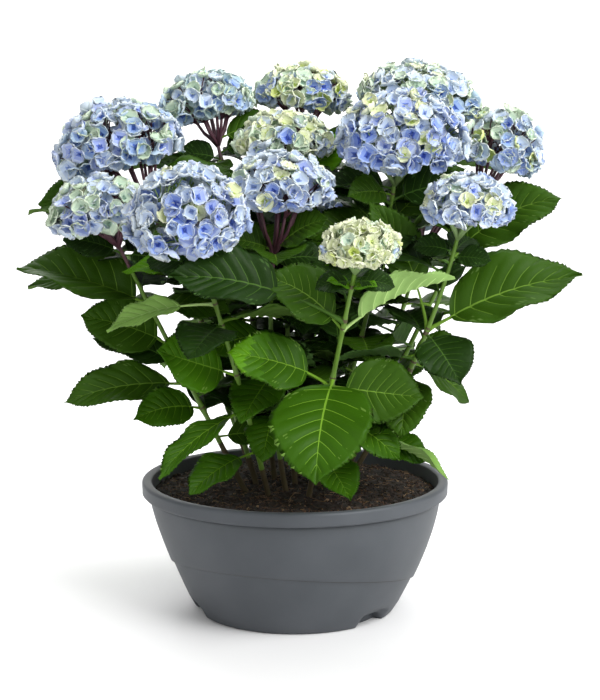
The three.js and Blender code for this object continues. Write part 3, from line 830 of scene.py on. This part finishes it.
def add_leaf(batch, line, plan, tone, draw, grid=FINE):
    """A blade P(x, y) = node + along * reach * T + lift * 4 arch reach T (1 - T)
    + side * y cos(fold) + up * (|y| sin(fold) + puffs + waves), T = stalk + (1 - stalk) x,
    and under it the same sheet moved down by the thickness, thick at the veins."""
    reach, half = plan["reach"], plan["width"] / 2
    across = heading(plan["azimuth"] + 90)
    along = heading(plan["azimuth"], plan["rise"])
    side = turned(across, along, math.radians(plan["roll"]))
    up, lift = np.cross(along, side), np.cross(along, across)
    start = at_height(line, plan["height"])
    fold, arch, stalk = math.radians(plan["fold"]), plan["arch"], plan["stalk"]
    t = grid.t
    size = reach / USUAL_REACH

    y = np.hypot(half * blade_shape(grid.margin), 0.0011) * t
    teeth = grid.out * TOOTH * draw.uniform(0.7, 1.3, len(grid.out)) * size ** 0.5
    teeth *= np.clip(blade_shape(grid.margin[:, 0]) * 3, 0, 1)
    y[:, 0] -= teeth
    y[:, -1] += teeth
    x = grid.x.copy()
    x[:, [0, -1]] += (0.7 * teeth / reach)[:, None]
    x = np.clip(x, 0, 1)
    y += draw.normal(0, 0.014) * reach * 4 * x * (1 - x)

    puffed = grid.puff[:, None] * np.abs(t) ** 0.5 * (1 - np.abs(t) ** 3)
    z = PUFF * size * puffed - 0.0005 * grid.vein[:, None] * (1 - t ** 2)
    for sign in (-1, 1):
        ripple = np.sin(2 * np.pi * (draw.uniform(1.6, 2.6) * x + draw.uniform()))
        high = RIPPLE * size * np.abs(t) ** 2.2 * ripple
        z += np.where(t * sign > 0, high, 0)
    z += np.sin(fold) * np.abs(y) * (1 - 0.22 * t ** 2)
    z += draw.normal(0, 0.16) * y * (x - 0.35)

    way = stalk + (1 - stalk) * x

    def put(way, y, z):
        bow = (4 * arch * reach * way * (1 - way))[..., None] * lift
        return (start + (reach * way)[..., None] * along + bow
                + (y * math.cos(fold))[..., None] * side + z[..., None] * up)

    top = put(way, y, z)
    normal = np.cross(np.gradient(top, axis=0), np.gradient(top, axis=1))
    normal = unit(normal + 1e-12 * up)
    rib = RIB * np.exp(-(t / 0.06) ** 2) * (1 - 0.8 * x)
    thick = SHEET + rib + 0.0007 * grid.vein[:, None] * (1 - np.abs(t))
    lower = (top - normal * (thick * size ** 0.5)[..., None])[grid.inner]
    points = np.concatenate([top.reshape(-1, 3), lower])
    shade = np.where(grid.far > plan["young"] - 0.2, TONES["young"], tone)
    shade = np.where(grid.far > plan["young"], TONES["fresh"], shade)
    batch.add(grid.top, 3 * shade + np.where(grid.pale, 1, 0))
    batch.add(grid.bottom, 3 * shade + np.where(grid.pale, 1, 2))
    batch.place(points)

    s = np.linspace(0, stalk + 0.03, 7)
    petiole = put(s, np.zeros(7), np.full(7, -0.0009))
    radius = (0.0021 + 0.0012 * np.exp(-s / 0.02) - 0.003 * s) * size ** 0.5
    add_tube(batch, petiole, radius, 3 * tone + 1, sides=7)


# %% [markdown]
# Old leaves are dark green, young ones are a fresh yellow-green, and every leaf is
# paler underneath and along its veins. Each leaf takes one of a few plain tones, and the
# darkest of them is painted shade, for leaves that lie in the crown's shade. The surface
# is waxy, so the shader has a soft gloss, and a fine bump stands for the cells.

# %% Leaf finishes
def leaf_finishes():
    """Blade, vein and underside finishes for each tone, three in a row."""
    made = []
    for name, blade, vein, below in (
        ("dark", (50, 82, 14), (104, 140, 48), (84, 114, 50)),
        # The darkest tone is painted shade, for leaves that lie in the crown's shade.
        ("deep_shade", (28, 52, 11), (70, 104, 38), (62, 92, 42)),
        ("mid", (50, 88, 8), (112, 154, 44), (92, 126, 48)),
        ("fresh", (82, 134, 12), (130, 176, 48), (112, 152, 54)),
        ("pale", (126, 164, 80), (168, 200, 122), (138, 172, 98)),
        ("young", (60, 104, 10), (112, 156, 46), (102, 138, 56)),
    ):
        for part, colour in (("blade", blade), ("vein", vein), ("under", below)):
            shine = 0.44 if part == "blade" else 0.55
            made.append(finish(f"leaf_{name}_{part}", chart(*colour), roughness=shine,
                               grain=0.00025, scale=520, Specular_IOR_Level=0.11))
    return made


leaf_materials = leaf_finishes()

# %% [markdown]
# Besides the planned leaves, each shoot bears smaller ones deep in the crown, which
# close it as the old leaves of a real plant do. They grow by a rule: a pair at each
# node, each pair turned a right angle from the pair below, with a little chance in it.
# A leaf is left out where the plan already has one near that node and direction. The
# last leaves, a half ring on the far side, stand just under the head. Two nodes in
# three, and the whole half ring, take the darkest tone, which is painted shade.

# %% The growing rule
NODE_GAP = 0.025
FIRST_NODE = 0.215
HEAD_ROOM = 0.03
CROWN_BACK, CROWN_FRONT = 1.15, 0.75
NEAR_HEIGHT, NEAR_AZIMUTH = 0.028, 35
HALF_RING = (0, 60, 120, 180)


def filling_leaves(shoot, draw):
    """Pairs at heights z0 + k NODE_GAP, at azimuths a0 + 90 k and a0 + 90 k + 180. No tip
    of theirs passes the crown's radius, (0.1 + 0.5 (z - 0.2)) times CROWN_BACK or
    CROWN_FRONT. The half ring's reach is 0.45 to 0.6 of the head's width."""
    low, high = FIRST_NODE, shoot["head"][2] - shoot["size"][2] * 0.5 - HEAD_ROOM
    line = stem_line(shoot)
    turn = draw.uniform(0, 90)
    for k, height in enumerate(np.arange(low, high, NODE_GAP)):
        for half_turn in (0, 180):
            azimuth = (turn + 90 * k + half_turn + draw.normal(0, 12)) % 360
            reach = draw.uniform(0.075, 0.1) + 0.12 * (height - low)
            rise = draw.uniform(-24, 24)
            node = at_height(line, height)
            tip = node + reach * heading(azimuth, rise)
            side = CROWN_BACK if tip[1] > 0 else CROWN_FRONT
            crown = (0.1 + 0.5 * (tip[2] - 0.2)) * side
            near = any(abs(item["height"] - height) < NEAR_HEIGHT
                       and abs((item["azimuth"] - azimuth + 180) % 360 - 180) < NEAR_AZIMUTH
                       for item in shoot["leaves"])
            if not near and math.hypot(tip[0], tip[1]) < crown:
                # Two nodes in three take the darkest tone: painted shade inside the crown.
                yield leaf(height, azimuth, rise, reach, reach * draw.uniform(0.58, 0.7),
                           draw.normal(0, 15), tone="deep_shade" if k % 3 else "dark")
    for azimuth in HALF_RING:
        reach = draw.uniform(0.45, 0.6) * shoot["size"][0]
        # The half ring under the head takes the darkest tone: painted shade.
        yield leaf(hub(shoot)[2] - draw.uniform(0.005, 0.025), azimuth + draw.normal(0, 10),
                   draw.uniform(-15, 20), reach, 0.7 * reach,
                   50 * math.cos(math.radians(azimuth)), tone="deep_shade")


# %% Make the leaves
GROUPS = {
    "left": ("left_high", "left_low", "left_front", "back_left"),
    "middle": ("front_small", "middle_front", "middle_high", "back_middle"),
    "right": ("right_front", "right_high", "right_outer", "back_right"),
    "rear": ("rear_left", "rear_middle", "rear_right"),
}
SPRAY = "spray_"
sprays = [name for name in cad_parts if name.startswith(SPRAY)]
for group, names in GROUPS.items():
    leaf_batch = Batch()
    count = 0
    for name in names:
        shoot = SHOOTS[name]
        line = stem_line(shoot)
        draw = np.random.default_rng(sum(name.encode()))
        for plan in shoot["leaves"]:
            add_leaf(leaf_batch, line, plan, TONES[plan["tone"]], draw)
            count += 1
        for plan in filling_leaves(shoot, draw):
            add_leaf(leaf_batch, line, plan, TONES[plan["tone"]], draw, PLAIN)
            count += 1
    leaves = make_piece("leaves_" + group, leaf_batch, leaf_materials)
    mine = [node for node in sprays if node[len(SPRAY):].rsplit("_", 1)[0] in names]
    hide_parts(*mine)
    print(count, "leaves for", len(mine), "sprays")

# %% [markdown]
# ## The flower heads
# A mophead is a dome of florets. Each floret is a small bowl of four round sepals that
# overlap. A sepal's colour runs from a deep blue heart to a thin cream rim, and its
# outside is pale, so a bowl seen from outside looks nearly white and one seen from
# above looks blue. All the sepals of a head are worked out in one go: one small grid,
# bent by arrays of lengths, curls and turns. Florets are spread over the dome by the
# golden angle, which packs them evenly without rows.

# %% A sepal's grid
SEPAL_U = np.array([0, 0.24, 0.6, 0.94, 1])
SEPAL_V = np.array([-1, -0.9, 0, 0.9, 1])
SEPAL_HALF = np.array([0.16, 0.6, 1, 0.68, 0.2])
EDGE, LIGHT, MIDDLE, HEART = range(4)


def sepal_zones():
    """Which finish each face takes: above, heart to rim along the sepal; below, pale."""
    above = np.repeat([HEART, MIDDLE, LIGHT, EDGE], 4).reshape(4, 4)
    below = np.full((4, 4), LIGHT)
    for zone in (above, below):
        zone[3] = EDGE
        zone[1:, [0, 3]] = EDGE
    return above.ravel(), below.ravel()


def sepal_faces():
    """The upper sheet's quads and the lower's, which share their edge points."""
    number = np.arange(25).reshape(5, 5)
    lower = number.copy()
    lower[1:-1, 1:-1] = 25 + np.arange(9).reshape(3, 3)
    quads = grid_faces(5, 5)
    return quads[:, ::-1], lower.ravel()[quads]


# %% Florets on a dome
LOWEST = -0.35
UNDER = 0.34
GOLDEN_ANGLE = 2.399963
SEPAL_SHEET = 0.0006


def dome_points(shoot, count, shrink, draw):
    """Points of a dome, their outward directions and their levels: azimuths k * golden
    angle, and levels even over the sphere from the crown down to below its widest."""
    width, depth, height = shoot["size"]
    over = 0.7 * height
    k = np.arange(count) + draw.uniform(0, 1)
    level = 1 - (k + 0.3) / count * (1 - LOWEST)
    level = np.clip(level + draw.normal(0, 0.035, count), LOWEST - 0.1, 1)
    azimuth = k * GOLDEN_ANGLE + draw.normal(0, 0.16, count)
    flat = np.sqrt(1 - level ** 2)
    ball = np.stack([flat * np.cos(azimuth), flat * np.sin(azimuth), level], -1)
    tall = np.where(level > 0, over - 0.002, over * UNDER)
    radii = np.stack([np.full(count, width / 2), np.full(count, depth / 2), tall], -1)
    lumps = 0.02 * np.sin(3 * azimuth + draw.uniform(0, 6)) * flat
    reach = shrink * (draw.uniform(0.9, 1.06, count) + lumps)
    place = ball * radii * reach[:, None]
    place[:, 2] += height / 2 - over + 0.003
    outward = unit(ball / radii)
    axis = heading(shoot["lean"][1] + 90)
    angle = math.radians(shoot["lean"][0])
    place = turned(place, axis, angle) + shoot["head"]
    return place, turned(outward, axis, angle), level


def add_florets(batch, middle, facing, size, curl, tints, draw):
    """Four sepals to a floret, each bent along a circle of curl radians: with u outwards
    and v across, out = L sin(curl u) / curl, up = L (1 - cos(curl u)) / curl, and
    across = W half(u) v, then turned to the floret's axis."""
    count = len(middle)
    facing = unit(facing + draw.normal(0, 0.3, (count, 3)))
    some = unit(np.cross(facing, draw.normal(size=(count, 3))))
    other = np.cross(facing, some)
    spin = draw.uniform(0, 2 * np.pi, (count, 1)) + np.arange(4) * np.pi / 2
    spin = spin + draw.normal(0, 0.08, (count, 4))
    out = (np.cos(spin)[..., None] * some[:, None] + np.sin(spin)[..., None] * other[:, None])
    across = np.cross(facing[:, None], out)
    length = size[:, None] * draw.uniform(0.84, 1.14, (count, 4))
    width = length * draw.uniform(0.58, 0.74, (count, 4))
    curl = curl[:, None] * draw.uniform(0.6, 1.3, (count, 4))
    u, v = SEPAL_U[:, None] * np.ones(5), SEPAL_V * np.ones((5, 1))
    half = SEPAL_HALF[:, None]
    grid = (slice(None), slice(None), None, None)
    angle = curl[grid] * u
    r = length[grid] * (np.sin(angle) / curl[grid] - 0.13 * u * v ** 2)
    s = width[grid] * half * v
    n = length[grid] * ((1 - np.cos(angle)) / curl[grid] + 0.2 * (v * half) ** 2)
    n = n + draw.normal(0, 0.0007, n.shape) * u + 0.0005 * (np.arange(4) % 2)[:, None, None]
    upper = (middle[:, None, None, None] + r[..., None] * out[:, :, None, None]
             + s[..., None] * across[:, :, None, None]
             + n[..., None] * facing[:, None, None, None])
    bent = angle[:, :, 1:-1, 1:-1, None]
    normal = facing[:, None, None, None] * np.cos(bent) - out[:, :, None, None] * np.sin(bent)
    lower = upper[:, :, 1:-1, 1:-1] - SEPAL_SHEET * normal
    points = np.concatenate([upper.reshape(count * 4, 25, 3),
                             lower.reshape(count * 4, 9, 3)], axis=1)
    first = (34 * np.arange(count * 4))[:, None, None]
    colour = 4 * np.repeat(tints, 4)[:, None]
    for faces, zones in zip(sepal_faces(), sepal_zones()):
        batch.add((faces + first).reshape(-1, 4), (colour + zones).ravel())
    batch.place(points.reshape(-1, 3))


def add_beads(batch, middle, facing, radius, tints):
    """The bud in a floret's middle: a small eight-sided bead."""
    beads = (middle + facing * radius)[:, None] + stone * radius
    first = (6 * np.arange(len(middle)))[:, None, None]
    marks = np.repeat(4 * tints + HEART, 8)
    batch.add((stone_faces + first).reshape(-1, 3), marks)
    batch.place(beads.reshape(-1, 3))


# %% [markdown]
# The heads don't have one blue. Full heads are lavender and blue, older ones greyer,
# and young ones still cream and green, and every head mixes a few of these florets.
# The old florets at a head's foot are bluer than the young ones at its crown. A tint
# is four plain colours, and a number from 0, blue, to 1, pale, says where it grows.

# %% Floret finishes
TINTS = {
    "blue": ((200, 212, 226), (166, 186, 228), (132, 156, 220), (78, 104, 196), 0.0),
    "lavender": ((212, 220, 232), (188, 202, 232), (158, 174, 226), (100, 124, 204), 0.4),
    "pale": ((222, 230, 230), (206, 218, 230), (186, 202, 228), (134, 156, 210), 1.0),
    "grey_blue": ((202, 216, 222), (176, 198, 220), (142, 168, 214), (84, 114, 194), 0.1),
    "grey_green": ((212, 226, 218), (188, 208, 208), (160, 186, 202), (108, 140, 186), 0.6),
    "green": ((220, 232, 208), (208, 224, 200), (192, 212, 190), (156, 186, 168), 0.8),
    "cream": ((232, 236, 208), (226, 232, 196), (216, 224, 176), (190, 208, 120), 1.0),
    "lime": ((220, 228, 172), (208, 220, 140), (196, 212, 110), (160, 186, 70), 0.8),
}
TINT_NUMBER = {name: number for number, name in enumerate(TINTS)}
MIXES = {
    "blue": {"blue": 5, "lavender": 3, "pale": 2, "cream": 0.5},
    "lavender": {"lavender": 4, "pale": 4, "blue": 3, "cream": 0.25},
    "pale_lavender": {"pale": 5, "lavender": 3, "green": 1, "cream": 0.7, "blue": 1.5},
    "grey_blue": {"grey_blue": 4, "lavender": 3, "pale": 3, "green": 2},
    "pale_blue": {"pale": 5, "green": 3, "grey_blue": 2, "cream": 1},
    "grey_green": {"grey_green": 4, "grey_blue": 3, "green": 3, "pale": 2},
    "greenish": {"pale": 5, "green": 4, "lavender": 3, "cream": 1},
    "blue_green": {"green": 3, "pale": 3, "grey_blue": 2, "blue": 2, "lime": 1},
    "pale_green": {"green": 4, "cream": 3, "pale": 2, "blue": 0.5},
    "yellow_green": {"cream": 3, "green": 3, "pale": 3, "blue": 2, "lime": 1},
    "cream": {"cream": 6, "green": 2, "lime": 1, "blue": 0.3},
}
floret_materials = []
for name, colours in TINTS.items():
    for part, colour in zip(("rim", "light", "middle", "heart"), colours):
        floret_materials.append(finish(f"sepal_{name}_{part}", chart(*colour), roughness=0.6,
                                       grain=0.00012, scale=700, Specular_IOR_Level=0.3))
print(len(floret_materials), "floret finishes")


def deal_tints(kind, level, draw):
    """One tint a floret, with weight share * exp(3 (paleness - 0.5) (level - 0.2))."""
    mix = MIXES[kind]
    numbers = np.array([TINT_NUMBER[tint] for tint in mix])
    paleness = np.array([TINTS[tint][4] for tint in mix])
    weight = np.array(list(mix.values())) * np.exp(
        3 * (paleness - 0.5) * (level[:, None] - 0.2))
    reached = np.cumsum(weight, axis=1) / weight.sum(axis=1, keepdims=True)
    return numbers[(draw.uniform(size=(len(level), 1)) > reached).sum(axis=1)]


# %% [markdown]
# Under the dome the stem forks into thick stalks, which fork twice again, down to one
# thin stalk to each floret. They are dark purple under most heads. Each is a tube on a
# bent path, and a fork lies part of the way to the middle of the florets it bears.

# %% Make the heads
FORKS, TWIGS = 5, 3
FORK_RADII = [0.0024, 0.0023, 0.0020, 0.0017]
TWIG_RADII = [0.0017, 0.0014, 0.0012]


def add_stalks(batch, shoot, middle, mark, draw):
    """Tubes hub -> fork -> twig -> floret: five forks share the florets by azimuth round
    the head's axis, and each fork's three twigs share them by distance from it."""
    base = hub(shoot)
    axis = crown_axis(shoot)
    side = unit(np.cross(axis, [0, 1, 0.1]))
    rel = middle - base
    across = np.stack([rel @ side, rel @ np.cross(axis, side)], -1)
    turn = np.arctan2(across[:, 1], across[:, 0])
    sector = ((turn / (2 * np.pi) + 0.5 + draw.uniform()) % 1 * FORKS).astype(int)
    order = np.argsort(np.hypot(*across.T))
    for number in range(FORKS):
        mine = middle[order[sector[order] == number]]
        if len(mine) < TWIGS:
            continue
        fork = base + (mine.mean(axis=0) - base) * draw.uniform(0.5, 0.7)
        out = fork - base - axis * ((fork - base) @ axis)
        bend = base + (fork - base) * 0.5 + out * 0.14
        add_tube(batch, np.array([base - axis * 0.003, base + (bend - base) * 0.5, bend, fork]),
                 FORK_RADII, mark, sides=8)
        for part in np.array_split(mine, TWIGS):
            twig = fork + (part.mean(axis=0) - fork) * 0.5
            bend = (fork + twig) / 2 - axis * 0.001
            add_tube(batch, np.array([fork - axis * 0.001, bend, twig]),
                     TWIG_RADII, mark, sides=6)
            for end in part:
                knee = (twig + end) / 2 + axis * 0.003 + draw.normal(0, 0.0015, 3)
                t = np.linspace(0, 1, 4)[:, None]
                path = twig * (1 - t) ** 2 + 2 * knee * t * (1 - t) + end * t ** 2
                add_tube(batch, path, np.linspace(0.0009, 0.0007, 4), mark, sides=4)


SEPAL, BEAD = 0.0118, 0.0011
USUAL_WIDTH = 0.14
OUTER_SHELL, INNER_SHELL = 0.88, 0.7
stalk_batch = Batch()
for group, names in GROUPS.items():
    head_batch = Batch()
    total = 0
    for name in names:
        shoot = SHOOTS[name]
        draw = np.random.default_rng(1 + sum(name.encode()))
        width, depth, height = shoot["size"]
        young = 0.82 if shoot["florets"] == "cream" else 1.0
        sepal = SEPAL * young * (width / USUAL_WIDTH) ** 0.25
        area = width * depth + 0.8 * height * (width + depth)
        outer = round(1.2 * area / (1.45 * sepal) ** 2)
        mark = 0 if shoot["rays"] == "purple" else 1
        for count, shrink in ((outer, OUTER_SHELL), (outer // 4, INNER_SHELL)):
            middle, facing, level = dome_points(shoot, count, shrink, draw)
            tints = deal_tints(shoot["florets"], level, draw)
            size = sepal * (1.08 - 0.17 * level) * draw.uniform(0.9, 1.12, count)
            curl = draw.uniform(0.6, 1.5, count)
            add_florets(head_batch, middle, facing, size, curl, tints, draw)
            add_beads(head_batch, middle, facing, BEAD, tints)
            add_stalks(stalk_batch, shoot, middle, mark, draw)
            total += count
    heads = make_piece("florets_" + group, head_batch, floret_materials)
    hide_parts(*["bloom_" + name for name in names])
    print(total, "florets in", len(names), "heads")
stalk_finishes = [
    finish("stalk_purple", chart(86, 50, 62), roughness=0.5),
    finish("stalk_green", chart(122, 148, 92), roughness=0.5),
]
make_piece("flower_stalks", stalk_batch, stalk_finishes)

# %% [markdown]
# ## Floor, light and camera
# The plant stands on a pale sweep: a floor that turns up into a backdrop. The light is
# an even sky, a broad soft lamp from the front and right, weaker ones from the left and
# from behind, and one that keeps the backdrop pale.

# %% The stage
def make_sweep():
    """A sheet with the profile floor - quarter circle - wall, drawn out to both sides."""
    bend = np.linspace(0, np.pi / 2, 24)
    radius, back, front = 1.2, 2.6, -4.0
    y = np.concatenate([[front, 0.0], back + radius * np.sin(bend), [back + radius]])
    z = np.concatenate([[0.0, 0.0], radius - radius * np.cos(bend), [5.0]])
    x = np.array([-6.0, 6.0])
    points = np.stack([np.broadcast_to(x, (len(y), 2)), np.broadcast_to(y[:, None], (len(y), 2)),
                       np.broadcast_to(z[:, None], (len(y), 2))], -1).reshape(-1, 3)
    mesh = bpy.data.meshes.new("sweep")
    mesh.from_pydata(points.tolist(), [], grid_faces(len(y), 2).tolist())
    mesh.polygons.foreach_set("use_smooth", np.ones(len(mesh.polygons), dtype=bool))
    sweep = bpy.data.objects.new("sweep", mesh)
    mesh.materials.append(finish("paper", chart(250, 250, 250), roughness=0.9))
    bpy.context.scene.collection.objects.link(sweep)


make_sweep()
world = bpy.data.worlds.new("studio")
world.use_nodes = True
world.node_tree.nodes["Background"].inputs["Color"].default_value = (1, 1, 1, 1)
world.node_tree.nodes["Background"].inputs["Strength"].default_value = 0.4
bpy.context.scene.world = world


# %% Lamps and camera
def lamp(name, place, aim, size, power):
    """A square area lamp at a place, aimed at a point."""
    light = bpy.data.lights.new(name, "AREA")
    light.shape = "SQUARE"
    light.size, light.energy = size, power
    lit = bpy.data.objects.new(name, light)
    lit.location = place
    way = np.array(aim) - np.array(place)
    flat = math.hypot(way[0], way[1])
    lit.rotation_euler = (math.atan2(flat, -way[2]), 0, math.atan2(way[1], way[0]) - math.pi / 2)
    bpy.context.scene.collection.objects.link(lit)


lamp("key", (2.0, -1.7, 2.3), (0, 0, 0.4), 2.4, 126)
lamp("fill", (-1.6, -2.2, 1.6), (0, 0, 0.45), 1.6, 10)
lamp("back", (-0.6, 1.6, 2.2), (0, 0, 0.5), 1.2, 18)
lamp("backdrop", (0, 0.9, 2.9), (0, 3.8, 0.9), 2.5, 110)

# The camera's place in metres, how far it looks down in degrees, and its lens in mm.
CAMERA_PLACE = (0.006, -2.0, 0.616)
CAMERA_DOWN = 8.6
LENS = 87.2
camera_data = bpy.data.cameras.new("camera")
camera_data.lens = LENS
camera = bpy.data.objects.new("camera", camera_data)
camera.location = CAMERA_PLACE
camera.rotation_euler = (math.radians(90 - CAMERA_DOWN), 0, 0)
bpy.context.scene.collection.objects.link(camera)
bpy.context.scene.camera = camera
bpy.context.scene.view_settings.view_transform = "Standard"
